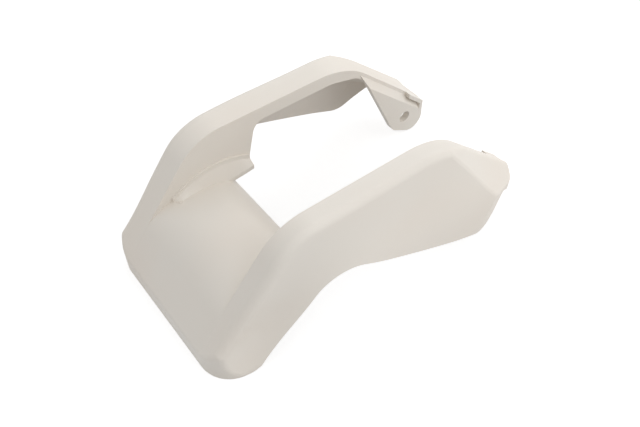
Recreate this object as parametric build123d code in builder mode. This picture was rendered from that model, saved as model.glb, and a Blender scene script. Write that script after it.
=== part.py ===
from build123d import *
from math import asin, atan2, cos, degrees, radians, sin, tan
import os

# One-piece moulded yoke housing: a hood at the closed end, two hollow arms, and a
# pivot ear inside each arm end. It is drawn with the arms level, X towards the open
# end and Z = 0 on the arm tops, and is tipped onto its own feet at the end.

# driving sizes: the wall, half the gap between the arms, and how far their tips reach
wall = 2.4
gap_half = 35.0
tip_x = 149.0

# arm tops, seen from the side
hood_slope = 51.0
end_slope = 41.0
hood_knee_x = -13.3
end_knee_x = tip_x - 63.5
hood_bend = 32.0
end_bend = 52.0

# arm tops, seen along the arm
band_half = gap_half + 14.5
band_rise = 3.5
edge_round = 4.0
waist_bend = 2.5

# leaned facet at the outside of each arm end
ridge_x = tip_x - 34.0
ridge_half = gap_half + 11.3
facet_pitch = 38.5
facet_lean = 42.0

# outer sides: an upright strip, a waist crease, and a flare below it
waist_half = band_half + 4.5
nose_waist_half = band_half - 1.0
side_taper_x = -45.0
side_taper = 50.0
arm_waist_z = -14.0
waist_slope = 33.5
waist_knee_x = 14.0
flare = 0.38
lower_flare = 0.15
flare_depth = 22.0
least_upright = 11.0

# outline from above
nose_x = -62.5
nose_half = band_half + 2.0
nose_round = 18.0
skirt_x = -40.0
skirt_half = band_half + 5.7
heel_x = tip_x - 42.0
heel_half = band_half + 16.0
heel_round = 60.0
corner_x = tip_x - 12.0
corner_half = band_half + 5.0
corner_round = 9.0
notch_x = tip_x - 8.5
notch_half = gap_half + 7.0
tip_half = gap_half + 1.5
tip_round = 2.0

# lower rim, from the side
foot_x = -42.0
foot_z = -71.8
foot_round = 8.0
arch_x = 5.5
arch_z = -23.3
arch_round = 26.0
paddle_x = tip_x - 45.0
paddle_z = -62.0
paddle_round = 12.0
heel_rim_x = tip_x - 24.5
heel_rim_z = -47.0
heel_rim_round = 5.0
toe_x = tip_x - 13.0
toe_z = -56.0
toe_fall = 30.0

# inner lips of the arms and side walls of the hood
lip_z = -8.0
lip_end_x = tip_x - 55.5
lip_end_z = -12.5
lip_round = 8.0
wall_edge_x = 18.0
wall_edge_top_x = wall_edge_x + 5.0

# deck between the arms: leaves the hood front, crests and turns down to a free edge
deck_front_x = -48.0
deck_crest_x = -14.0
deck_crest_z = -27.5
deck_edge_x = 7.0
deck_edge_z = -41.5
deck_fall = 62.0
deck_crown = 5.5

# step along the foot of each hood side wall: a bead, and a ledge falling inwards from it
step_half = gap_half - 5.0
step_end_x = wall_edge_x - 0.5
step_line = [(-31.0, -31.0), (-6.0, -22.0), (step_end_x, -28.0)]
ledge_line = [(-29.0, -31.5), (-4.0, -34.2), (step_end_x, -32.5)]
ledge_depth = 2.6
bead_depth = 2.4
bead_width = 1.3

# pivot ears, hung inside the arm ends from a chamfered shoulder
ear_half = gap_half - 4.0
ear_wall = wall + 2.0
ear_start_x = tip_x - 53.5
ear_heel_x = tip_x - 17.4
ear_heel_z = -61.0
ear_heel_round = 9.5
ear_toe_x = tip_x - 8.2
ear_toe_z = -67.0
ear_toe_round = 8.5
pivot_x = tip_x - 15.3
pivot_z = -61.0
pivot_radius = 4.05
shoulder_drop = 2.0
shoulder_end_x = tip_x - 13.0

# lofting sections of the sides
reach = 100.0
spare = 10.0
side_start_x = -80.0
side_steps = 8
side_pitch = (tip_x + 11.0 - side_start_x) / side_steps

os.makedirs("parts", exist_ok=True)


def top_z(x):
    """Height of the arm top at x, with its bends left sharp."""
    hood = (x - hood_knee_x) * tan(radians(hood_slope))
    end = (end_knee_x - x) * tan(radians(end_slope))
    return min(0.0, hood, end)


def waist_z(x):
    """Height of the waist crease at x."""
    return arm_waist_z + min(0.0, (x - waist_knee_x) * tan(radians(waist_slope)))


def band_direction(pitch):
    """Outward line along which a level top and a pitched face rise equally."""
    rise = band_rise / (band_half - gap_half)
    return Vector(rise * tan(pitch / 2), 1, rise).normalized()


def under_outline(outline, rounds, inset):
    """Side region under an outline that runs from level to steep, set in by inset."""
    floor_z = outline[-1][1]
    with BuildSketch(Plane.XZ.offset(-gap_half)) as profile:
        with BuildLine():
            FilletPolyline(*outline, radius=rounds)
            Polyline(outline[-1], (outline[0][0], floor_z), outline[0])
        make_face()
        offset(amount=-inset)
    return profile.sketch


def hood_profile(inset):
    """Side region under the arm top and the hood front, set in by inset."""
    fall = reach * tan(radians(hood_slope))
    outline = [(2 * reach, 0), (hood_knee_x, 0), (hood_knee_x - reach, -fall)]
    return under_outline(outline, hood_bend, inset)


def end_profile(inset):
    """Side region under the arm top and the arm end, set in by inset."""
    fall = 2 * reach * tan(radians(end_slope))
    outline = [(-2 * reach, 0), (end_knee_x, 0), (end_knee_x + 2 * reach, -fall)]
    return under_outline(outline, end_bend, inset)


def swept_top(profile, direction):
    """Everything under a profile, level inside the gap and rising outside it."""
    with BuildPart() as block:
        extrude(profile, amount=2 * reach, dir=direction)
        extrude(profile, amount=gap_half)
    return block.part


def facet_plane(inset):
    """Leaned plane that cuts the outside of an arm end, set in by inset."""
    pitch = radians(facet_pitch)
    lean = radians(facet_lean)
    out = band_direction(radians(end_slope))
    ridge = Vector(ridge_x, gap_half, top_z(ridge_x)) + out * ((ridge_half - gap_half) / out.Y)
    normal = Vector(sin(pitch) * cos(lean), sin(lean), cos(pitch) * cos(lean))
    return Plane(origin=ridge - normal * inset, z_dir=normal)


def side_curve(x, inset):
    """Points down one outer side at x: upright, bend at the waist, flare."""
    grown = min(1.0, max(0.0, (x - side_taper_x) / side_taper))
    waist = nose_waist_half + (waist_half - nose_waist_half) * grown
    upright = max(least_upright, top_z(min(x, end_knee_x)) - waist_z(x))
    lean = (waist - band_half) / upright
    curve = []
    for rise in (spare - waist_z(x), upright, waist_bend):
        curve.append((waist - inset - rise * lean, waist_z(x) + rise))
    for fall in (waist_bend, flare_depth, 2 * flare_depth, reach):
        below = max(0.0, fall - flare_depth)
        spread = min(fall, flare_depth) * flare + below * lower_flare
        curve.append((waist - inset + spread, waist_z(x) - fall))
    return curve


def side_block(inset):
    """Everything between the two outer sides, set in by inset."""
    with BuildPart() as block:
        for step in range(side_steps + 1):
            x = side_start_x + step * side_pitch
            side = side_curve(x, inset)
            with BuildSketch(Plane.YZ.offset(x)):
                with BuildLine():
                    Spline(*side)
                    Spline(*[(-y, z) for y, z in side])
                    Line(side[0], (-side[0][0], side[0][1]))
                    Line(side[-1], (-side[-1][0], side[-1][1]))
                make_face()
        loft()
    return block.part


def plan_outline(inset):
    """Outline from above, set in by inset: rounded nose, bevelled arm ends."""
    half = [
        (nose_x, 0),
        (nose_x, nose_half),
        (skirt_x, skirt_half),
        (skirt_x + 2 * spare, heel_half),
        (heel_x, heel_half),
        (corner_x, corner_half),
        (notch_x, notch_half),
        (tip_x, tip_half),
        (tip_x, 0),
    ]
    rounds = [nose_round, 0, 0, heel_round, corner_round, 0, tip_round]
    with BuildSketch() as plan:
        with BuildLine():
            FilletPolyline(*half, radius=rounds)
            Line(half[-1], half[0])
        make_face()
        mirror(about=Plane.XZ)
        offset(amount=-inset)
    return plan.sketch


def hull(inset):
    """Solid form of the outer skin, set in by inset."""
    with BuildPart() as form:
        add(side_block(inset))
        add(swept_top(hood_profile(inset), band_direction(-radians(hood_slope))), mode=Mode.INTERSECT)
        add(swept_top(end_profile(inset), band_direction(radians(end_slope))), mode=Mode.INTERSECT)
        with BuildSketch(facet_plane(inset)):
            Rectangle(4 * reach, 4 * reach)
        extrude(amount=reach, mode=Mode.SUBTRACT)
        mirror(about=Plane.XZ)
        extrude(plan_outline(inset), amount=2 * reach, both=True, mode=Mode.INTERSECT)
    return form.part


def rim_outline():
    """Side view of everything above the lower rim of the outer skin."""
    rim = [
        (-reach, foot_z),
        (foot_x, foot_z),
        (arch_x, arch_z),
        (paddle_x, paddle_z),
        (heel_rim_x, heel_rim_z),
        (toe_x, toe_z),
        (2 * reach, toe_z - (2 * reach - toe_x) * tan(radians(toe_fall))),
        (2 * reach, reach),
        (-reach, reach),
    ]
    with BuildSketch(Plane.XZ) as side:
        with BuildLine():
            FilletPolyline(*rim, radius=[foot_round, arch_round, paddle_round, heel_rim_round, 0, 0, 0])
            Line(rim[-1], rim[0])
        make_face()
    return side.sketch


def along(angle):
    """Unit direction in side view, angle above the level."""
    return Vector(cos(radians(angle)), 0, sin(radians(angle)))


def deck_strip(y):
    """Section of the deck at y, one wall thick."""
    slopes = [along(hood_slope), along(0), along(-deck_fall)]
    sag = deck_crown * (y / gap_half) ** 2
    top = [
        Vector(deck_front_x, y, top_z(deck_front_x)),
        Vector(deck_crest_x, y, deck_crest_z - sag),
        Vector(deck_edge_x, y, deck_edge_z),
    ]
    under = [p + Vector(d.Z, 0, -d.X) * wall for p, d in zip(top, slopes)]
    with BuildLine() as strip:
        Spline(*top, tangents=slopes)
        Spline(*under, tangents=slopes)
        Line(top[0], under[0])
        Line(top[-1], under[-1])
    return Face(Wire(strip.edges()))


def step_face(line, y, depth):
    """Side face of the step at y: an arc through three points, depth thick."""
    top = [(x, y, z) for x, z in line]
    under = [(x, y, z - depth) for x, z in line]
    with BuildLine() as outline:
        ThreePointArc(*top)
        ThreePointArc(*under)
        Line(top[0], under[0])
        Line(top[2], under[2])
    return Face(Wire(outline.edges()))


hull_form = hull(0)
deck_cut = Vector(deck_front_x, 0, top_z(deck_front_x))
hood_in = Vector(sin(radians(hood_slope)), 0, -cos(radians(hood_slope)))
cut_top = deck_cut - hood_in * reach
cut_foot = deck_cut + hood_in * reach

# outer form with its creases rounded
with BuildPart() as rounded:
    add(hull_form)
    upper = rounded.edges().filter_by(lambda e: e.center().Z > foot_z)
    sides = [e for e in upper if gap_half < abs(e.center().Y) < waist_half + edge_round]
    creases = [e for e in sides if e.center().X < pivot_x and abs((e % 0.5).Y) < 0.95]
    front = [e for e in upper if e.center().X < nose_x + 1 and abs((e % 0.5).Z) < 0.9]
    fillet(creases + [e for e in front if e not in creases], radius=edge_round)

# outer skin: hood front, arm tops and outer sides, open between the arms
with BuildPart() as skin:
    add(rounded.part)
    add(hull(wall), mode=Mode.SUBTRACT)
    for end_x, half in ((2 * reach, ear_half), (shoulder_end_x, gap_half)):
        with BuildSketch(Plane.XZ):
            with BuildLine():
                Polyline(
                    (cut_top.X, cut_top.Z),
                    (cut_foot.X, cut_foot.Z),
                    (end_x, cut_foot.Z),
                    (end_x, cut_top.Z),
                    close=True,
                )
            make_face()
        extrude(amount=half, both=True, mode=Mode.SUBTRACT)
    extrude(rim_outline(), amount=reach, both=True, mode=Mode.INTERSECT)

# deck, crowned across and turned down at its free edge
with BuildPart() as deck:
    half = gap_half + wall / 2
    loft([deck_strip(y) for y in (-half, -half / 2, 0, half / 2, half)])

# inner lip and hood side wall of one arm
with BuildPart() as inner:
    with BuildSketch(Plane.XZ.offset(-gap_half)):
        with BuildLine():
            lower = [
                (deck_front_x - 2, top_z(deck_front_x)),
                (deck_crest_x, deck_crest_z - deck_crown - wall),
                (wall_edge_x, step_line[2][1] - bead_depth),
                (wall_edge_top_x, lip_z),
                (end_knee_x - spare, lip_z),
                (lip_end_x, lip_end_z),
                (tip_x, lip_end_z + top_z(tip_x) - top_z(lip_end_x)),
                (tip_x + spare, lip_end_z + top_z(tip_x + spare) - top_z(lip_end_x)),
            ]
            rounds = [2 * lip_round, 0.5, lip_round, end_bend / 2, lip_round, 0]
            FilletPolyline(*lower, radius=rounds)
            Polyline(lower[-1], (tip_x + spare, reach), (deck_front_x - 2, reach), lower[0])
        make_face()
    extrude(amount=-wall)
    add(rounded.part, mode=Mode.INTERSECT)

# bead and ledge at the foot of the hood side wall
with BuildPart() as step:
    ledge_half = gap_half - bead_width
    fallen = [(x, z - bead_depth) for x, z in step_line]
    loft([step_face(ledge_line, step_half, ledge_depth), step_face(fallen, ledge_half, ledge_depth)])
    loft([step_face(step_line, y, bead_depth + wall) for y in (ledge_half, gap_half + wall)])

# pivot ear under a chamfered shoulder
with BuildPart() as ear:
    with BuildSketch(Plane.XZ.offset(-ear_half)):
        with Locations((ear_heel_x, ear_heel_z)):
            Circle(ear_heel_round)
        with Locations((ear_toe_x, ear_toe_z)):
            Circle(ear_toe_round)
        with BuildLine():
            Polyline(
                (ear_start_x, top_z(ear_start_x) - shoulder_drop),
                (tip_x, top_z(tip_x)),
                (tip_x, top_z(tip_x) - shoulder_drop),
                close=True,
            )
        make_face()
        make_hull()
    extrude(amount=-ear_wall)
    with BuildPart(mode=Mode.INTERSECT):
        pitch = radians(end_slope)
        extrude(end_profile(shoulder_drop), amount=reach, dir=-Vector(sin(pitch), 1, cos(pitch)))
        extrude(end_profile(shoulder_drop), amount=-ear_wall)
    with BuildSketch(Plane.XZ.offset(-ear_half)):
        with Locations((pivot_x, pivot_z)):
            Circle(pivot_radius)
    extrude(amount=-2 * ear_wall, mode=Mode.SUBTRACT)

with BuildPart() as drawn:
    add(skin.part)
    add(deck.part)
    for half in (inner.part, step.part, ear.part):
        add(half)
        add(mirror(half, about=Plane.XZ, mode=Mode.PRIVATE))

# tipped until the foot and both ears stand on the floor
run = Vector(ear_toe_x - foot_x, 0, ear_toe_z - foot_z)
pitch = degrees(atan2(run.Z, run.X) - asin(ear_toe_round / run.length))
box = (Rot(0, pitch, 0) * drawn.part).bounding_box()
shift = (-box.center().X, 0, -box.min.Z)
with BuildPart() as housing:
    with Locations(Location(shift, (0, pitch, 0))):
        add(drawn.part)

housing.part.label = "housing"
export_step(housing.part, "parts/housing.step")
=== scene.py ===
import bpy
import numpy as np
from math import radians
from mathutils import Matrix, Vector

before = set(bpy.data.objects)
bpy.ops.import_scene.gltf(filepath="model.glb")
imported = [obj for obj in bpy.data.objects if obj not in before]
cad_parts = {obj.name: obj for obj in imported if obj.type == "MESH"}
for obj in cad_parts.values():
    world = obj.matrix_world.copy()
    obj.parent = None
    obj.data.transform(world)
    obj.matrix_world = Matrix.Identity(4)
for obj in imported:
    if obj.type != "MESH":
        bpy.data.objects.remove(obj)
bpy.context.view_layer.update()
print("frame loaded:", sorted(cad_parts))


def addNode(tree, kind, **settings):
    # one shader node, with its plain properties set by name
    node = tree.nodes.new(kind)
    for name, value in settings.items():
        setattr(node, name, value)
    return node


def newMaterial(name):
    # an empty material with its output, ready for nodes
    material = bpy.data.materials.new(name)
    material.use_nodes = True
    material.node_tree.nodes.clear()
    output = addNode(material.node_tree, "ShaderNodeOutputMaterial")
    return material, material.node_tree, output


def newGroup(name, inputs, outputs):
    # a node group: inputs are (kind, name, value), outputs are (kind, name)
    group = bpy.data.node_groups.new(name, "ShaderNodeTree")
    for kind, label, value in inputs:
        socket = group.interface.new_socket(label, in_out="INPUT", socket_type=kind)
        if value is not None:
            socket.default_value = value
    for kind, label in outputs:
        group.interface.new_socket(label, in_out="OUTPUT", socket_type=kind)
    return group, addNode(group, "NodeGroupInput"), addNode(group, "NodeGroupOutput")


def useGroup(tree, group, **values):
    # a node that places the group, with its inputs set; _ stands for a space
    node = addNode(tree, "ShaderNodeGroup", node_tree=group)
    for name, value in values.items():
        node.inputs[name.replace("_", " ")].default_value = value
    return node


def meshFromGrid(name, points, material):
    # points is rows x columns x 3; neighbours are joined as quads
    rows, columns = points.shape[:2]
    index = np.arange(rows * columns).reshape(rows, columns)
    corners = [index[:-1, :-1], index[:-1, 1:], index[1:, 1:], index[1:, :-1]]
    quads = np.stack(corners, axis=-1)
    mesh = bpy.data.meshes.new(name)
    mesh.from_pydata(points.reshape(-1, 3), [], quads.reshape(-1, 4).tolist())
    mesh.materials.append(material)
    mesh.polygons.foreach_set("use_smooth", np.ones(len(mesh.polygons), bool))
    piece = bpy.data.objects.new(name, mesh)
    bpy.context.scene.collection.objects.link(piece)
    return piece


grain = {
    "fineDetail": 3.0,
    "fineRoughness": 0.6,
    "coarseDetail": 2.0,
    "coarseScale": 0.25,  # of the fine one, so each coarse grain is four fine ones wide
}


def makeMouldGrain(sizes):
    # the fine eroded texture of the mould: a fine and a coarse noise, mixed by the coarse share
    group, given, out = newGroup(
        "mouldGrain",
        [
            ("NodeSocketVector", "Vector", None),
            ("NodeSocketFloat", "Grains Per Metre", 1500.0),
            ("NodeSocketFloat", "Coarse Share", 0.4),
        ],
        [("NodeSocketFloat", "Height")],
    )
    links = group.links
    fine = addNode(group, "ShaderNodeTexNoise")
    fine.inputs["Detail"].default_value = sizes["fineDetail"]
    fine.inputs["Roughness"].default_value = sizes["fineRoughness"]
    wider = addNode(group, "ShaderNodeMath", operation="MULTIPLY")
    wider.inputs[1].default_value = sizes["coarseScale"]
    coarse = addNode(group, "ShaderNodeTexNoise")
    coarse.inputs["Detail"].default_value = sizes["coarseDetail"]
    blend = addNode(group, "ShaderNodeMix", data_type="FLOAT")
    links.new(given.outputs["Vector"], fine.inputs["Vector"])
    links.new(given.outputs["Vector"], coarse.inputs["Vector"])
    links.new(given.outputs["Grains Per Metre"], fine.inputs["Scale"])
    links.new(given.outputs["Grains Per Metre"], wider.inputs[0])
    links.new(wider.outputs[0], coarse.inputs["Scale"])
    links.new(given.outputs["Coarse Share"], blend.inputs["Factor"])
    links.new(fine.outputs["Fac"], blend.inputs["A"])
    links.new(coarse.outputs["Fac"], blend.inputs["B"])
    links.new(blend.outputs["Result"], out.inputs["Height"])
    return group


flow = {
    "stretch": (0.5, 1.0, 1.0),  # waves twice as long along the arms
    "detail": 4.0,
    "spread": (0.3, 0.7),  # noise values that give fully pale and fully warm
}


def makeFlowTint(sizes):
    # slow drift of tone left by the melt: a stretched noise moves the colour from pale to warm
    group, given, out = newGroup(
        "flowTint",
        [
            ("NodeSocketVector", "Vector", None),
            ("NodeSocketColor", "Pale", (0.8, 0.8, 0.8, 1)),
            ("NodeSocketColor", "Warm", (0.7, 0.7, 0.7, 1)),
            ("NodeSocketFloat", "Waves Per Metre", 14.0),
        ],
        [("NodeSocketColor", "Color"), ("NodeSocketFloat", "Drift")],
    )
    links = group.links
    stretch = addNode(group, "ShaderNodeMapping")
    stretch.inputs["Scale"].default_value = sizes["stretch"]
    noise = addNode(group, "ShaderNodeTexNoise")
    noise.inputs["Detail"].default_value = sizes["detail"]
    spread = addNode(group, "ShaderNodeMapRange", interpolation_type="SMOOTHSTEP")
    spread.inputs["From Min"].default_value = sizes["spread"][0]
    spread.inputs["From Max"].default_value = sizes["spread"][1]
    tone = addNode(group, "ShaderNodeMix", data_type="RGBA")
    links.new(given.outputs["Vector"], stretch.inputs["Vector"])
    links.new(stretch.outputs["Vector"], noise.inputs["Vector"])
    links.new(given.outputs["Waves Per Metre"], noise.inputs["Scale"])
    links.new(noise.outputs["Fac"], spread.inputs["Value"])
    links.new(spread.outputs["Result"], tone.inputs["Factor"])
    links.new(given.outputs["Pale"], tone.inputs["A"])
    links.new(given.outputs["Warm"], tone.inputs["B"])
    links.new(tone.outputs["Result"], out.inputs["Color"])
    links.new(spread.outputs["Result"], out.inputs["Drift"])
    return group


mouldGrain = makeMouldGrain(grain)
flowTint = makeFlowTint(flow)
print("shared effects built")


housing = {
    "pale": (0.828, 0.785, 0.72, 1),
    "warm": (0.818, 0.755, 0.68, 1),
    "roughness": (0.42, 0.52),  # at the two ends of the drift
    "wavesPerMetre": 14.0,
    "grainsPerMetre": 1500.0,
    "coarseShare": 0.4,
    "grainDepth": 0.00004,
    "grainStrength": 0.35,
    "ior": 1.5,
}


def makeMouldedPlastic(look):
    # warm white moulded plastic, satin, with a fine mould grain
    material, tree, output = newMaterial("mouldedPlastic")
    links = tree.links
    place = addNode(tree, "ShaderNodeTexCoord")
    texture = useGroup(
        tree,
        mouldGrain,
        Grains_Per_Metre=look["grainsPerMetre"],
        Coarse_Share=look["coarseShare"],
    )
    tint = useGroup(
        tree,
        flowTint,
        Pale=look["pale"],
        Warm=look["warm"],
        Waves_Per_Metre=look["wavesPerMetre"],
    )
    gloss = addNode(tree, "ShaderNodeMapRange")
    gloss.inputs["To Min"].default_value = look["roughness"][0]
    gloss.inputs["To Max"].default_value = look["roughness"][1]
    bump = addNode(tree, "ShaderNodeBump")
    bump.inputs["Strength"].default_value = look["grainStrength"]
    bump.inputs["Distance"].default_value = look["grainDepth"]
    plastic = addNode(tree, "ShaderNodeBsdfPrincipled")
    plastic.inputs["IOR"].default_value = look["ior"]
    links.new(place.outputs["Object"], texture.inputs["Vector"])
    links.new(place.outputs["Object"], tint.inputs["Vector"])
    links.new(tint.outputs["Drift"], gloss.inputs["Value"])
    links.new(texture.outputs["Height"], bump.inputs["Height"])
    links.new(tint.outputs["Color"], plastic.inputs["Base Color"])
    links.new(gloss.outputs["Result"], plastic.inputs["Roughness"])
    links.new(bump.outputs["Normal"], plastic.inputs["Normal"])
    links.new(plastic.outputs["BSDF"], output.inputs["Surface"])
    return material


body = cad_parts["housing"]
mouldedPlastic = makeMouldedPlastic(housing)
for slot in body.material_slots:
    slot.material = mouldedPlastic
print("housing finished:", len(body.data.polygons), "faces")


floor = {
    "half": 3.0,
    "steps": 12,
    "color": (0.55, 0.55, 0.55, 1),
    "seenColor": (0.45, 0.45, 0.45, 1),
    "glow": 0.72,
}


def makeStudioWhite(look):
    # pale to the light, and for the camera and mirrors a glow on top that keeps the shadow
    material, tree, output = newMaterial("studioWhite")
    links = tree.links
    rays = addNode(tree, "ShaderNodeLightPath")
    seen = addNode(tree, "ShaderNodeMath", operation="MAXIMUM")
    matte = addNode(tree, "ShaderNodeBsdfDiffuse")
    matte.inputs["Color"].default_value = look["color"]
    seenMatte = addNode(tree, "ShaderNodeBsdfDiffuse")
    seenMatte.inputs["Color"].default_value = look["seenColor"]
    glow = addNode(tree, "ShaderNodeEmission")
    glow.inputs["Strength"].default_value = look["glow"]
    lit = addNode(tree, "ShaderNodeAddShader")
    pick = addNode(tree, "ShaderNodeMixShader")
    links.new(rays.outputs["Is Camera Ray"], seen.inputs[0])
    links.new(rays.outputs["Is Glossy Ray"], seen.inputs[1])
    links.new(seenMatte.outputs["BSDF"], lit.inputs[0])
    links.new(glow.outputs["Emission"], lit.inputs[1])
    links.new(seen.outputs[0], pick.inputs["Fac"])
    links.new(matte.outputs["BSDF"], pick.inputs[1])
    links.new(lit.outputs["Shader"], pick.inputs[2])
    links.new(pick.outputs["Shader"], output.inputs["Surface"])
    return material


def makeFloor(sizes):
    # a flat sheet at z = 0: x and y run from -half to half
    run = np.linspace(-sizes["half"], sizes["half"], sizes["steps"])
    across, along = np.meshgrid(run, run)
    points = np.stack([across, along, np.zeros_like(across)], axis=-1)
    return meshFromGrid("floor", points, makeStudioWhite(sizes))


makeFloor(floor)
print("floor laid")


studio = {
    "ambient": 0.632,
    "backdrop": 1.0,
    "lamps": {
        "topLamp": {"place": (0.0, 0.0, 1.4), "size": 1.1, "power": 1.05},
        "nearTopLamp": {"place": (0.45, -0.75, 1.0), "size": 1.1, "power": 3.2},
        "lowNearLamp": {"place": (0.9, -0.9, 0.2), "size": 1.1, "power": 3.5},
        "farEndLamp": {"place": (0.9, 0.8, 0.8), "size": 1.1, "power": 4.2},
    },
    "aim": (0.0, 0.0, 0.04),
}


def makeLamp(name, lamp, aim):
    # a square soft box that faces the aim point
    light = bpy.data.lights.new(name, "AREA")
    light.size = lamp["size"]
    light.energy = lamp["power"]
    holder = bpy.data.objects.new(name, light)
    holder.location = lamp["place"]
    facing = Vector(aim) - Vector(lamp["place"])
    holder.rotation_euler = facing.to_track_quat("-Z", "Y").to_euler()
    bpy.context.scene.collection.objects.link(holder)


def makeWorld(look):
    # an even sky for the light, and plain white where the camera or a mirror sees it
    world = bpy.data.worlds.new("studio")
    world.use_nodes = True
    tree = world.node_tree
    tree.nodes.clear()
    rays = addNode(tree, "ShaderNodeLightPath")
    seen = addNode(tree, "ShaderNodeMath", operation="MAXIMUM")
    level = addNode(tree, "ShaderNodeMapRange")
    level.inputs["To Min"].default_value = look["ambient"]
    level.inputs["To Max"].default_value = look["backdrop"]
    sky = addNode(tree, "ShaderNodeBackground")
    sky.inputs["Color"].default_value = (1, 1, 1, 1)
    output = addNode(tree, "ShaderNodeOutputWorld")
    tree.links.new(rays.outputs["Is Camera Ray"], seen.inputs[0])
    tree.links.new(rays.outputs["Is Glossy Ray"], seen.inputs[1])
    tree.links.new(seen.outputs[0], level.inputs["Value"])
    tree.links.new(level.outputs["Result"], sky.inputs["Strength"])
    tree.links.new(sky.outputs["Background"], output.inputs["Surface"])
    bpy.context.scene.world = world


makeWorld(studio)
for name, lamp in studio["lamps"].items():
    makeLamp(name, lamp, studio["aim"])
bpy.context.scene.view_settings.view_transform = "Standard"
print("light set")


view = {
    "place": (-0.17100, -0.20160, 0.31414),
    "aim": (-0.01870, -0.01871, 0.04000),
    "roll": 2.445,  # degrees
    "lens": 39.375,
    "sensor": 36.0,
    "nearest": 0.01,
}


def makeCamera(sizes):
    # looks from place to aim, then rolls about its own axis
    camera = bpy.data.cameras.new("camera")
    camera.lens = sizes["lens"]
    camera.sensor_width = sizes["sensor"]
    camera.clip_start = sizes["nearest"]
    holder = bpy.data.objects.new("camera", camera)
    facing = Vector(sizes["aim"]) - Vector(sizes["place"])
    level = facing.to_track_quat("-Z", "Y").to_matrix()
    turned = level @ Matrix.Rotation(radians(sizes["roll"]), 3, "Z")
    holder.matrix_world = Matrix.Translation(sizes["place"]) @ turned.to_4x4()
    bpy.context.scene.collection.objects.link(holder)
    bpy.context.scene.camera = holder


makeCamera(view)
print("camera placed")
